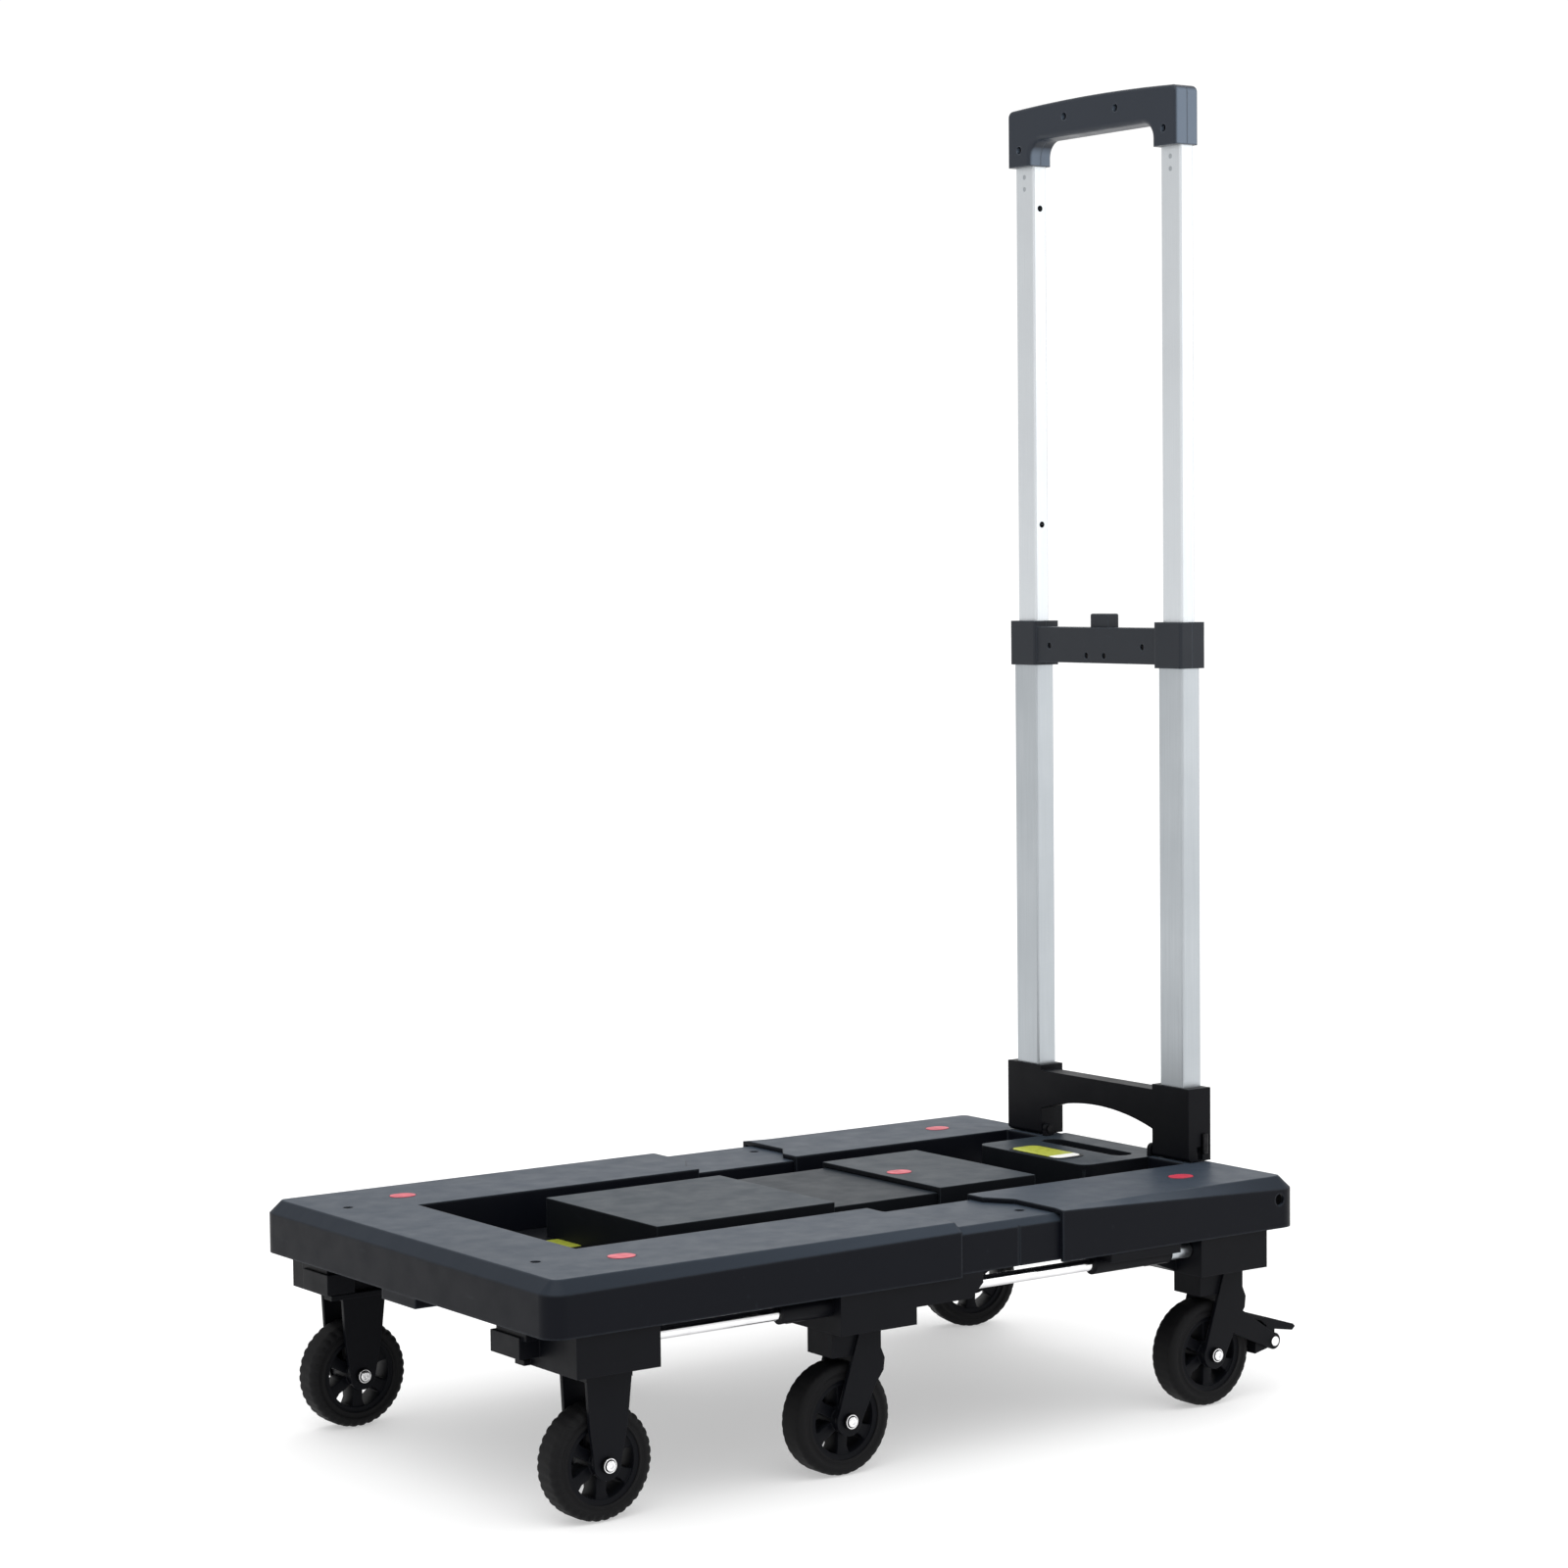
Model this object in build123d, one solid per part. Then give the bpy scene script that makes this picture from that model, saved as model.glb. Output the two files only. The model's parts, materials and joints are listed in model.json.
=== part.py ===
from build123d import *
import os

# Folding platform cart, in mm. X runs from the front of the deck to the handle, Z is up,
# the floor is z = 0. The deck is three sections: the front and rear ones slide over the middle one.

# Overall sizes
front_section = 321.0
rear_section = 217.0
deck_width = 380.0
handle_height = 941.5
wheel_radius = 37.5
deck_top = 160.5

# Fits
slide_gap = 0.4
running_gap = 0.05
pocket_gap = 0.1
side_gap = 0.5

# Deck travel and split line
travel = 42.5
closing_gap = 2.0
step_depth = 13.0
step_inner_y = 119.0
step_outer_y = 138.0

# Deck shells
wall = 3.0
plate = 3.2
deck_height = 36.0
corner_radius = 13.4
front_bar = 74.0
rail_width = 88.0
bevel_height = 8.5
bevel_width = 8.5
shell_inset = 1.8
shell_drop = 2.0
floor_thickness = 3.0
cross_floor_lift = 1.4

# Middle tiles, proud of the channels that run beside them
channel_width = 32.0
tile_wall = 2.4
tile_plate = 3.2
tile_step = 4.1
front_tile_length = 146.0
rear_tile_length = 86.0

# Casters
caster_y_inset = 32.0
front_axle_inset = 50.7
middle_axis_inset = 64.4
rear_axis_inset = 47.0
caster_trail = 18.0
block_bottom = 97.5
block_length = 62.0
wheel_width = 24.0
axle_radius = 3.0
kingpin_radius = 5.0
shoe_gap = 3.5
shoe_reach = 15.0
pedal_tip = 24.0
pedal_pivot_lift = 2.5

# Guide rods
rod_radius = 4.3
rod_z = 115.5
rod_y_inset = 18.0

# Handle
handle_inset = 15.5
tube_spacing = 165.7
outer_tube_width = 25.7
outer_tube_depth = 17.6
tube_wall = 1.8
tube_play = 0.55
telescope_travel = 325.0
fold_pin_radius = 2.0
fold_height = 5.3
bracket_height = 54.0
collar_bottom_above_deck = 359.5
collar_height = 33.5
collar_depth = 24.0
grip_height = 45.0
grip_depth = 22.0
button_stroke = 4.0

# Small features of the deck
front_head_bevel = 5.5
rear_head_bevel = 0.8
screw_inset_x = 31.0
screw_y = 123.0
marker_y = 141.0
front_marker_inset = 84.0
rear_marker_inset = 67.5
marker_length = 19.0
marker_width = 15.0
middle_hole_inset = 12.0
middle_hole_y = 158.0
side_hole_inset = 17.5
side_hole_z = 145.0
side_hole_radius = 4.2
beam_wall = 2.6
carry_plate_depth = 87.0
carry_plate_top = 4.0
carry_slot_margin = 15.0
carry_plate_inset = 20.85
carry_slot_width = 18.0
front_block_inset = 52.0
rear_block_inset = 58.0
lug_length = 56.0
front_lug_half = 22.0
lug_bottom = 109.0
sleeve_radius = 7.0
bushing_length = 40.0
kingpin_top = 118.0

rear_bar = 29.0
hand_space = 23.0
front_overlap = 132.0
rear_overlap = 46.0
seam_inset = 35.5
tile_setback = 4.0
tile_overlap = 36.0
tile_marker_inset = 17.0
carry_slot_inset = 36.0
block_offset = 2.4
rod_seat = 12.0
rod_grip = 20.0
sleeve_length = 69.0
sleeve_setback = 20.0

# Wheel details
rim_radius = 27.5
spoke_count = 8
leg_inner = 13.3
leg_outer = 16.3

# Handle details
bracket_depth = 21.4
bracket_lift = 0.7
bracket_toe = 3.2
post_outset = 21.0
post_inset = 18.85
ear_thickness = 3.5
ear_radius = 4.2
arch_top = 191.2
arch_radius = 212.0
collar_end = 14.65
collar_end_inset = 15.0
tube_lift = 3.7
collar_lip = 5.5
grip_cap = 14.0
grip_front = 12.5
grip_split = 1.5
grip_crown = 2.7
grip_corner = 5.0
grip_edge = 2.5
hand_gap_corner = 12.0
hand_gap_edge = 3.5
button_depth = 10.5
button_half_length = 10.0
button_half_depth = 5.0
button_rise = 5.8
grip_end = 12.65
grip_leg = 18.0
collar_screw_inset = 29.85
collar_screw_centre = 10.0
grip_screw_inset = 0.85
grip_screw_centre = 29.0

# Places that follow from the sizes
pedal_pivot_reach = wheel_radius - caster_trail + shoe_gap + shoe_reach
pedal_pivot_height = wheel_radius + pedal_pivot_lift
pedal_reach = pedal_pivot_reach + pedal_tip
deck_length = front_section + rear_section + 2 * travel + closing_gap
overhang = pedal_reach - rear_axis_inset
front_x = -(deck_length + overhang) / 2
rear_x = front_x + deck_length
half_width = deck_width / 2
deck_bottom = deck_top - deck_height
front_tail_x = front_x + front_section
rear_head_x = rear_x - rear_section
opening_half = half_width - rail_width
tile_half_width = opening_half - channel_width
caster_y = half_width - caster_y_inset
rod_y = half_width - rod_y_inset
front_axle_x = front_x + front_axle_inset
middle_axis_x = front_tail_x - middle_axis_inset
rear_axis_x = rear_x - rear_axis_inset
tube_x = rear_x - handle_inset
tube_y = tube_spacing / 2
post_inner = tube_y - post_inset
bracket_half = tube_y + post_outset
collar_half = tube_y + collar_end
grip_half = tube_y + grip_end
collar_screw_places = [(tube_y - collar_screw_inset, 15.0), (collar_screw_centre, 8.0)]
grip_screw_places = [(tube_y - grip_screw_inset, 12.3), (grip_screw_centre, 32.3)]
carry_plate_half_width = tube_y - carry_plate_inset
carry_slot_half = carry_plate_half_width - carry_slot_margin
fold_x = tube_x - 7.5
fold_z = deck_top + fold_height
bracket_top = deck_top + bracket_height
collar_bottom = deck_top + collar_bottom_above_deck
collar_top = collar_bottom + collar_height
grip_bottom = handle_height - grip_height
hand_gap_top = grip_bottom + grip_leg
beam_top = deck_top - plate - slide_gap
cross_floor_z = deck_bottom + cross_floor_lift
channel_floor_z = cross_floor_z + floor_thickness + 1.0
floor_top = channel_floor_z + floor_thickness
rear_opening_x = rear_x - rear_bar
rear_floor_x = rear_opening_x - hand_space
beam_front_x = front_tail_x - front_overlap
beam_rear_x = rear_head_x + rear_overlap
seam_x = rear_head_x - seam_inset
front_tile_x1 = front_tail_x - step_depth - tile_setback
front_tile_x0 = front_tile_x1 - front_tile_length
rear_tile_x0 = rear_head_x - step_depth + 1.0
rear_tile_x1 = rear_tile_x0 + rear_tile_length
tile_marker_x = rear_tile_x0 + tile_marker_inset
middle_tile_x0 = front_tile_x1 - tile_overlap
middle_tile_x1 = rear_tile_x0 + tile_overlap
carry_slot_x = rear_x - carry_slot_inset
middle_block_x = middle_axis_x - block_offset
lug_x1 = middle_block_x + block_length / 2 + lug_length
front_rod_x0 = front_x + front_block_inset - block_length / 2 + rod_seat
front_rod_x1 = middle_block_x - block_length / 2 + rod_grip
rear_rod_x0 = max(lug_x1 - rod_grip, front_rod_x1 + 2 * travel + closing_gap)
rear_rod_x1 = rear_x - rear_block_inset - block_length / 2 + rod_seat
sleeve_x1 = rear_rod_x1 - rod_seat - sleeve_setback
sleeve_x0 = sleeve_x1 - sleeve_length
outer_tube_bottom = deck_top + tube_lift
outer_tube_top = collar_top - collar_lip
inner_tube_bottom = outer_tube_bottom + telescope_travel + 2.0
inner_tube_top = handle_height - grip_cap
button_base = collar_top - button_depth
rivet_heights = [grip_bottom - 7.5, grip_bottom - 16.5]
lock_hole_heights = [grip_bottom - 31.5, grip_bottom - 270.0]
crown_radius = (grip_half ** 2 + grip_crown ** 2) / (2 * grip_crown)
casters = [
    ("middle_left", middle_axis_x, caster_y, 45, False),
    ("middle_right", middle_axis_x, -caster_y, 0, False),
    ("rear_left", rear_axis_x, caster_y, 165, True),
    ("rear_right", rear_axis_x, -caster_y, 0, True),
]
inner_width = outer_tube_width - 2 * (tube_wall + tube_play)
inner_depth = outer_tube_depth - 2 * (tube_wall + tube_play)


def block(x0, x1, y0, y1, z0, z1):
    """Box from its six limits."""
    size = Box(x1 - x0, y1 - y0, z1 - z0)
    return Pos((x0 + x1) / 2, (y0 + y1) / 2, (z0 + z1) / 2) * size


def rod_x(x0, x1, y, z, radius):
    """Cylinder along X."""
    return Pos((x0 + x1) / 2, y, z) * Rot(0, 90, 0) * Cylinder(radius, x1 - x0)


def rod_across(x, y0, y1, z, radius):
    """Cylinder along Y."""
    return Pos(x, (y0 + y1) / 2, z) * Rot(90, 0, 0) * Cylinder(radius, y1 - y0)


def post(x, y, z0, z1, radius):
    """Cylinder along Z."""
    return Pos(x, y, (z0 + z1) / 2) * Cylinder(radius, z1 - z0)


def outline(points, z0, z1):
    """Prism on a plan outline."""
    return Pos(0, 0, z0) * extrude(make_face(Polyline(*points, close=True)), z1 - z0)


def profile(points, y0, y1):
    """Prism across Y on an outline given as (x, z)."""
    corners = [(x, y0, z) for x, z in points]
    return extrude(make_face(Polyline(*corners, close=True)), y1 - y0, dir=(0, 1, 0))


def front_profile(points, x0, x1):
    """Prism along X on an outline given as (y, z)."""
    corners = [(x0, y, z) for y, z in points]
    return extrude(make_face(Polyline(*corners, close=True)), x1 - x0, dir=(1, 0, 0))


def both_sides(shape):
    """The shape and its mirror image across the cart, as two solids."""
    return Compound(children=[shape, mirror(shape, about=Plane.XZ)])


def one_solid(shape):
    """The same shape as a single clean solid, refused if it has come apart."""
    pieces = shape.solids()
    if len(pieces) != 1:
        raise ValueError("a piece has come apart into %d solids" % len(pieces))
    return pieces[0]


# Deck shells

def section_outline(end_x, head_x, half, opening, opening_x):
    """Plan of a U-shaped deck section: closed at end_x, open at its stepped head."""
    inner_x = head_x - step_depth
    side = [(end_x, half), (head_x, half), (head_x, step_outer_y), (inner_x, step_inner_y)]
    side += [(inner_x, opening), (opening_x, opening)]
    return side + [(x, -y) for x, y in reversed(side)]


def bevel_triangle(edge, height, width, top):
    """Corners, as (outward, z), of the triangle cut from a top outer edge at a given distance out."""
    low = (edge + 0.3 * width, top - 1.3 * height)
    high = (edge - 1.1 * width, top + 0.1 * height)
    return [low, high, (low[0], high[1])]


def bevel_face(x, height, side, inset, drop):
    """Bevel triangle in the plane across X, at one side of the deck."""
    corners = bevel_triangle(half_width - inset, height, bevel_width, deck_top - drop)
    return make_face(Polyline(*[(x, side * y, z) for y, z in corners], close=True))


def bevels(end_x, head_x, head_height, inset, drop):
    """All that a section's bevel takes away, or the same moved inwards for the cavity."""
    inward = 1 if head_x > end_x else -1
    start = end_x + inward * corner_radius
    corners = bevel_triangle(corner_radius - inset, bevel_height, bevel_width, deck_top - drop)
    ring = revolve(make_face(Polyline(*[(out, 0, z) for out, z in corners], close=True)), Axis.Z, 360)
    end = [(end_x + inward * (corner_radius - out), z) for out, z in corners]
    reach = half_width - corner_radius
    cut = profile(end, -reach, reach)
    for side in (1, -1):
        faces = [bevel_face(start, bevel_height, side, inset, drop)]
        faces.append(bevel_face(head_x + inward * 2, head_height, side, inset, drop))
        cut += loft(faces, ruled=True)
        xs = sorted((0, -inward * 40))
        ys = sorted((0, side * 40))
        quarter = ring & block(xs[0], xs[1], ys[0], ys[1], 0, deck_top + 50)
        cut += Pos(start, side * reach, 0) * quarter
    return cut


def corner_round(end_x, inward, side, radius):
    """Material outside one rounded corner of the plan, or of its cavity."""
    axis_x = end_x + inward * corner_radius
    axis_y = side * (half_width - corner_radius)
    xs = sorted((axis_x, end_x - inward))
    ys = sorted((axis_y, side * (half_width + 1)))
    square = block(xs[0], xs[1], ys[0], ys[1], deck_bottom - 2, deck_top + 1)
    return square - post(axis_x, axis_y, deck_bottom - 3, deck_top + 2, radius)


def section_shell(end_x, head_x, opening_x, head_bevel):
    """Inverted channel round the opening, open at its head and underneath."""
    inward = 1 if head_x > end_x else -1
    plan = section_outline(end_x, head_x, half_width, opening_half, opening_x)
    cavity_plan = section_outline(end_x + inward * wall, head_x + inward * 60, half_width - wall,
                                  opening_half + wall, opening_x - inward * wall)
    cavity = outline(cavity_plan, deck_bottom - 1, deck_top - plate)
    cavity -= bevels(end_x, head_x, head_bevel, shell_inset, shell_drop)
    for side in (1, -1):
        cavity -= corner_round(end_x, inward, side, corner_radius - wall)
    shell = outline(plan, deck_bottom, deck_top) - cavity
    for side in (1, -1):
        shell -= corner_round(end_x, inward, side, corner_radius)
    shell -= bevels(end_x, head_x, head_bevel, 0, 0)
    x0, x1 = sorted((opening_x - inward * (wall + 1), head_x + inward * 20))
    reach = opening_half + wall + 0.1
    return shell - block(x0, x1, -reach, reach, deck_bottom - 1, floor_top)


def screw_hole(x, y, top, radius=3.4, depth=2.2):
    """Shallow round hole in a top face."""
    return post(x, y, top - depth, top + 1, radius)


def front_frame():
    """Front section: bar, two rails and a small lug under the front edge."""
    shell = section_shell(front_x, front_tail_x, front_x + front_bar, front_head_bevel)
    for side in (1, -1):
        shell -= screw_hole(front_x + screw_inset_x, side * screw_y, deck_top)
        shell -= marker(front_x + front_marker_inset, side * marker_y)
    lug_x = front_x + wall
    return shell + block(front_x + 0.5, lug_x + 30, -front_lug_half, front_lug_half, deck_bottom - 7, deck_bottom + 2)


def rear_frame():
    """Rear section: bar, two rails and a seat for the carry plate."""
    shell = section_shell(rear_x, rear_head_x, rear_opening_x, rear_head_bevel)
    reach = carry_plate_half_width + pocket_gap
    shell -= block(rear_opening_x - 1, rear_x - wall, -reach, reach, deck_bottom - 1, deck_top + 1)
    for side in (1, -1):
        shell -= marker(rear_x - rear_marker_inset, side * marker_y)
        y0, y1 = sorted((side * (half_width - 3), side * (half_width + 1)))
        shell -= rod_across(rear_x - side_hole_inset, y0, y1, side_hole_z, side_hole_radius)
    return shell


def marker(x, y, grow=0.0, depth=0.8, proud=0.0):
    """Oval marker set in a top face, or the pocket for one."""
    oval = SlotOverall(marker_length + 2 * grow, marker_width + 2 * grow)
    return Pos(x, y, deck_top - depth) * extrude(oval, depth + proud)


def floor_plate(end_x, head_x, slot_x):
    """Floor of a section, slotted so that it passes the middle tile."""
    x0, x1 = sorted((end_x, head_x))
    reach = opening_half + wall
    plate_body = block(x0, x1, -reach, reach, channel_floor_z, floor_top)
    inner = tile_half_width - tile_wall - 0.5
    s0, s1 = sorted((slot_x, head_x + (1 if head_x > slot_x else -1)))
    return plate_body - block(s0, s1, -inner, inner, channel_floor_z - 1, floor_top + 1)


def tile_cover(x0, x1, closed_x):
    """Raised tile: top plate, two side skirts and one closed end."""
    body = block(x0, x1, -tile_half_width, tile_half_width, floor_top, deck_top)
    inner = tile_half_width - tile_wall
    i0 = x0 + tile_wall if closed_x == x0 else x0 - 1
    i1 = x1 - tile_wall if closed_x == x1 else x1 + 1
    return body - block(i0, i1, -inner, inner, floor_top - 1, deck_top - tile_plate)


def middle_frame():
    """Middle section: two box beams joined by a thin cross floor."""
    outer = half_width - wall - slide_gap
    inner = opening_half + wall + slide_gap
    x0, x1 = beam_front_x, beam_rear_x
    frame = block(x0, x1, -inner - 1, inner + 1, cross_floor_z, cross_floor_z + floor_thickness)
    for side in (1, -1):
        y0, y1 = sorted((side * inner, side * outer))
        frame += block(x0, x1, y0, y1, cross_floor_z, beam_top)
        c0, c1 = sorted((side * (inner + beam_wall), side * (outer - beam_wall - 3)))
        frame -= block(x0 - 1, x1 + 1, c0, c1, cross_floor_z - 1, beam_top - beam_wall)
    for side in (1, -1):
        frame -= screw_hole(rear_head_x - middle_hole_inset, side * middle_hole_y, beam_top)
        g0, g1 = sorted((side * (outer - 0.8), side * (outer + 1)))
        edge = [(side * (outer - 6), beam_top + 0.01), (side * (outer + 0.01), beam_top + 0.01),
                (side * (outer + 0.01), beam_top - 4.5)]
        frame -= front_profile(edge, x0 - 1, x1 + 1)
        frame -= block(seam_x - 0.6, seam_x + 0.6, g0, g1, cross_floor_z - 1, beam_top + 1)
    return frame - screw_hole(front_tail_x + 7, middle_hole_y, beam_top)


def middle_tile():
    """Fixed tile, one step lower than the sliding ones and narrow enough to go under them."""
    inner = tile_half_width - tile_wall - 1.0
    top = deck_top - tile_step
    base = cross_floor_z + floor_thickness
    body = block(middle_tile_x0, middle_tile_x1, -inner, inner, base, top)
    core = inner - tile_wall
    return body - block(middle_tile_x0 + tile_wall, middle_tile_x1 - tile_wall, -core, core,
                        base - 1, top - tile_plate)


def carry_plate():
    """Plate at the handle's foot with a rounded hand slot through it."""
    x1 = rear_x - wall - 1.0
    x0 = x1 - carry_plate_depth
    half = carry_plate_half_width
    body = block(x0, x1, -half, half, floor_top, deck_top)
    front_corners = body.edges().filter_by(Axis.Z).group_by(Axis.X)[0]
    body = fillet(front_corners, 9.0)
    body -= block(x0 + 2.5, x1 + 1, -half + 2.5, half - 2.5, floor_top - 1, deck_top - carry_plate_top)
    slot = SlotOverall(2 * carry_slot_half, carry_slot_width, rotation=90)
    body -= Pos(carry_slot_x, 0, deck_top - 10) * extrude(slot, 20)
    return body


def caster_block(centre_x, axis_x, base_top, top, narrow):
    """Hollow-topped plastic block that carries one caster; made for the +Y side."""
    x0 = centre_x - block_length / 2
    x1 = centre_x + block_length / 2
    y0 = caster_y - 29
    y1 = half_width - wall - slide_gap
    body = block(x0, x1, y0, y1, block_bottom, base_top)
    body += block(x0 + 2, x1 - 2, y0 + 2, y1 - narrow, base_top - 1, top)
    body -= block(x0 + 5, x1 - 5, y0 + 5, y1 - narrow - 3, deck_bottom - 0.5, top + 1)
    body -= post(axis_x, caster_y, block_bottom - 1, kingpin_top + 0.5, kingpin_radius + running_gap)
    flange = block(x0 - 5, x1, y0 - 8, y0 + 3, block_bottom, block_bottom + 3.5)
    return body + flange


def front_block():
    """Front block: blind seat for its rod, a stepped nose and a solid top."""
    centre = front_x + front_block_inset
    body = caster_block(centre, centre, deck_bottom, deck_top - plate, 10.0)
    body += block(centre - 20, centre + 20, caster_y - 15, caster_y + 15, block_bottom, kingpin_top + 4)
    nose_x = front_x + 3
    body += block(nose_x + 3, centre - 25, caster_y - 50, caster_y - 15, deck_bottom - 20, deck_bottom - 6)
    body += block(nose_x + 5, centre - 25, caster_y - 46, caster_y - 10, deck_bottom - 8, deck_bottom)
    body -= rod_x(front_rod_x0, centre + 60, rod_y, rod_z, rod_radius + running_gap)
    return one_solid(body)


def middle_block():
    """Middle block: bored right through for the front rod, with the rear rod's guide lug behind."""
    body = caster_block(middle_block_x, middle_axis_x, cross_floor_z, beam_top - beam_wall, 6.0)
    lug_x0 = middle_block_x + block_length / 2 - 1
    lug_points = [(lug_x0, cross_floor_z), (lug_x1, cross_floor_z)]
    lug_points += [(lug_x1, rod_z + 3), (lug_x1 - 10, lug_bottom)]
    lug_points += [(lug_x0, lug_bottom)]
    body += profile(lug_points, rod_y - 9, half_width - wall - slide_gap)
    body -= rod_x(middle_block_x - 60, lug_x0 + 90, rod_y, rod_z, rod_radius + running_gap)
    return one_solid(body)


def rear_block():
    """Rear block with a sloped nose that meets its rod."""
    centre = rear_x - rear_block_inset
    body = caster_block(centre, rear_axis_x, deck_bottom, deck_top - plate, 10.0)
    x0 = centre - block_length / 2
    slope = [(x0 + 1, deck_bottom), (x0 - 38, deck_bottom), (x0 - 38, deck_bottom - 12), (x0 + 1, block_bottom)]
    body += profile(slope, caster_y - 29, caster_y + 2)
    body -= rod_x(x0 - 60, rear_rod_x1, rod_y, rod_z, rod_radius + running_gap)
    return one_solid(body)


def rod_sleeve():
    """Black sleeve on the rear rod, hung from the deck wall."""
    body = rod_x(sleeve_x0, sleeve_x1, rod_y, rod_z, sleeve_radius)
    body += block(sleeve_x0 + 4, sleeve_x1 - 2, rod_y - 2, half_width - 0.4, rod_z + 3, deck_bottom)
    return body - rod_x(sleeve_x0 - 1, sleeve_x1 + 1, rod_y, rod_z, rod_radius + running_gap)


def rod_bushing():
    """Black bushing at the mouth of the middle block."""
    mouth = middle_block_x - block_length / 2
    body = rod_x(mouth - bushing_length, mouth, rod_y, rod_z, sleeve_radius)
    return body - rod_x(mouth - bushing_length - 1, mouth + 1, rod_y, rod_z, rod_radius + running_gap)


# Wheels, forks and brakes, made at the swivel axis with the wheel trailing towards -X

def tyre():
    """Plain tyre ring with eased shoulders."""
    ring = Cylinder(wheel_radius, wheel_width)
    ring = chamfer(ring.edges(), 2.5)
    ring -= Cylinder(rim_radius, wheel_width + 2)
    return Rot(90, 0, 0) * ring


def hub():
    """Spoked wheel centre: rim, boss and open spokes."""
    body = Cylinder(rim_radius, wheel_width - 2) - Cylinder(rim_radius - 3, wheel_width)
    for index in range(spoke_count):
        arm = Pos((rim_radius - 1.5) / 2 + 2, 0, 0) * Box(rim_radius - 5.5, 2.6, wheel_width - 8)
        body += Rot(0, 0, index * 360 / spoke_count) * arm
    body += Cylinder(7.5, 2 * leg_inner - 2 * side_gap)
    body -= Cylinder(axle_radius + running_gap, wheel_width + 10)
    return Rot(90, 0, 0) * body


def wheel_at(shape, x, y, turn, trail):
    """Moves a wheel piece from the origin to a caster."""
    local = Pos(-trail, 0, wheel_radius) * shape
    return Pos(x, y, 0) * Rot(0, 0, turn) * local


def axle():
    """Axle bolt with a domed head at each end."""
    pin = rod_across(0, -leg_outer - 0.5, leg_outer + 0.5, 0, axle_radius)
    for side in (1, -1):
        y0, y1 = sorted((side * leg_outer, side * (leg_outer + 2.4)))
        pin += rod_across(0, y0, y1, 0, 5.2)
    return pin


def leg_pair(points, boss_x):
    """Two fork legs from one side outline, with a round foot at the axle."""
    legs = None
    for side in (1, -1):
        y0, y1 = sorted((side * leg_inner, side * leg_outer))
        leg = profile(points, y0, y1) + rod_across(boss_x, y0, y1, wheel_radius, 10.0)
        legs = leg if legs is None else legs + leg
    return legs


def fixed_fork():
    """Straight tapered fork under the front block."""
    top = block_bottom
    legs = leg_pair([(-15, top), (19, top), (15, 62), (9.5, 36), (-9.5, 36), (-13, 62)], 0)
    legs += block(-15, 19, -leg_outer, leg_outer, top - 6, top)
    return legs - rod_across(0, -30, 30, wheel_radius, axle_radius + running_gap)


def swivel_fork(with_brake):
    """Raked fork with its kingpin, and arms for a brake pedal where it has one."""
    top = block_bottom - side_gap
    points = [(-9, top), (8, top), (8, 83), (11, 76), (10, 68), (4, 60), (-8.3, 36), (-27.5, 40)]
    legs = leg_pair(points, -caster_trail)
    legs += block(-30, 8, -leg_inner - 0.5, leg_inner + 0.5, wheel_radius * 2 + 5, top)
    legs += post(0, 0, top - 4, kingpin_top, kingpin_radius)
    if with_brake:
        reach = pedal_pivot_reach
        height = pedal_pivot_height
        for side in (1, -1):
            y0, y1 = sorted((side * leg_inner, side * leg_outer))
            arm = [(-2, 62), (8, 66), (reach, height + 6), (reach, height - 6), (0, 50)]
            legs += profile(arm, y0, y1) + rod_across(reach, y0, y1, height, 6.0)
        legs -= rod_across(reach, -30, 30, height, fold_pin_radius + running_gap)
    return one_solid(legs - rod_across(-caster_trail, -30, 30, wheel_radius, axle_radius + running_gap))


def brake_pedal():
    """Pedal between the fork arms: hub, shoe towards the tyre and a foot tip."""
    reach = pedal_pivot_reach
    height = pedal_pivot_height
    half = leg_inner - side_gap
    body = rod_across(reach, -half, half, height, 5.0)
    tip = [(reach - 9, height + 15), (reach - 5, height + 17.5), (pedal_reach - 2, height + 9)]
    tip += [(pedal_reach, height + 7), (pedal_reach - 3, height + 4.5), (reach + 4, height + 7.5)]
    tip += [(reach + 4, height - 2), (reach - 4, height - 2), (reach - 4, height + 11)]
    body += profile(tip, -half, half)
    shoe = [(reach - 1, height + 5), (reach - shoe_reach + 1, height + 1), (reach - shoe_reach, height - 8), (reach - 1, height - 5)]
    body += profile(shoe, -half, half)
    return body - rod_across(reach, -30, 30, height, fold_pin_radius + running_gap)


def brake_pin():
    """Rivet through the arms and the pedal."""
    pin = rod_across(pedal_pivot_reach, -leg_outer - 0.5, leg_outer + 0.5, pedal_pivot_height, fold_pin_radius)
    for side in (1, -1):
        y0, y1 = sorted((side * leg_outer, side * (leg_outer + 1.6)))
        pin += rod_across(pedal_pivot_reach, y0, y1, pedal_pivot_height, 3.4)
    return pin


# Handle

def tube(centre_y, z0, z1, width, depth, thickness):
    """Rectangular tube standing on Z."""
    x0 = tube_x - depth / 2
    y0 = centre_y - width / 2
    body = block(x0, x0 + depth, y0, y0 + width, z0, z1)
    body = fillet(body.edges().filter_by(Axis.Z), 1.6)
    return body - block(x0 + thickness, x0 + depth - thickness, y0 + thickness,
                        y0 + width - thickness, z0 - 1, z1 + 1)


def tube_pocket(centre_y, z0, z1, width, depth):
    """Clearance for a tube."""
    half_w = width / 2 + pocket_gap
    half_d = depth / 2 + pocket_gap
    return block(tube_x - half_d, tube_x + half_d, centre_y - half_w, centre_y + half_w, z0, z1)


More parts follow.
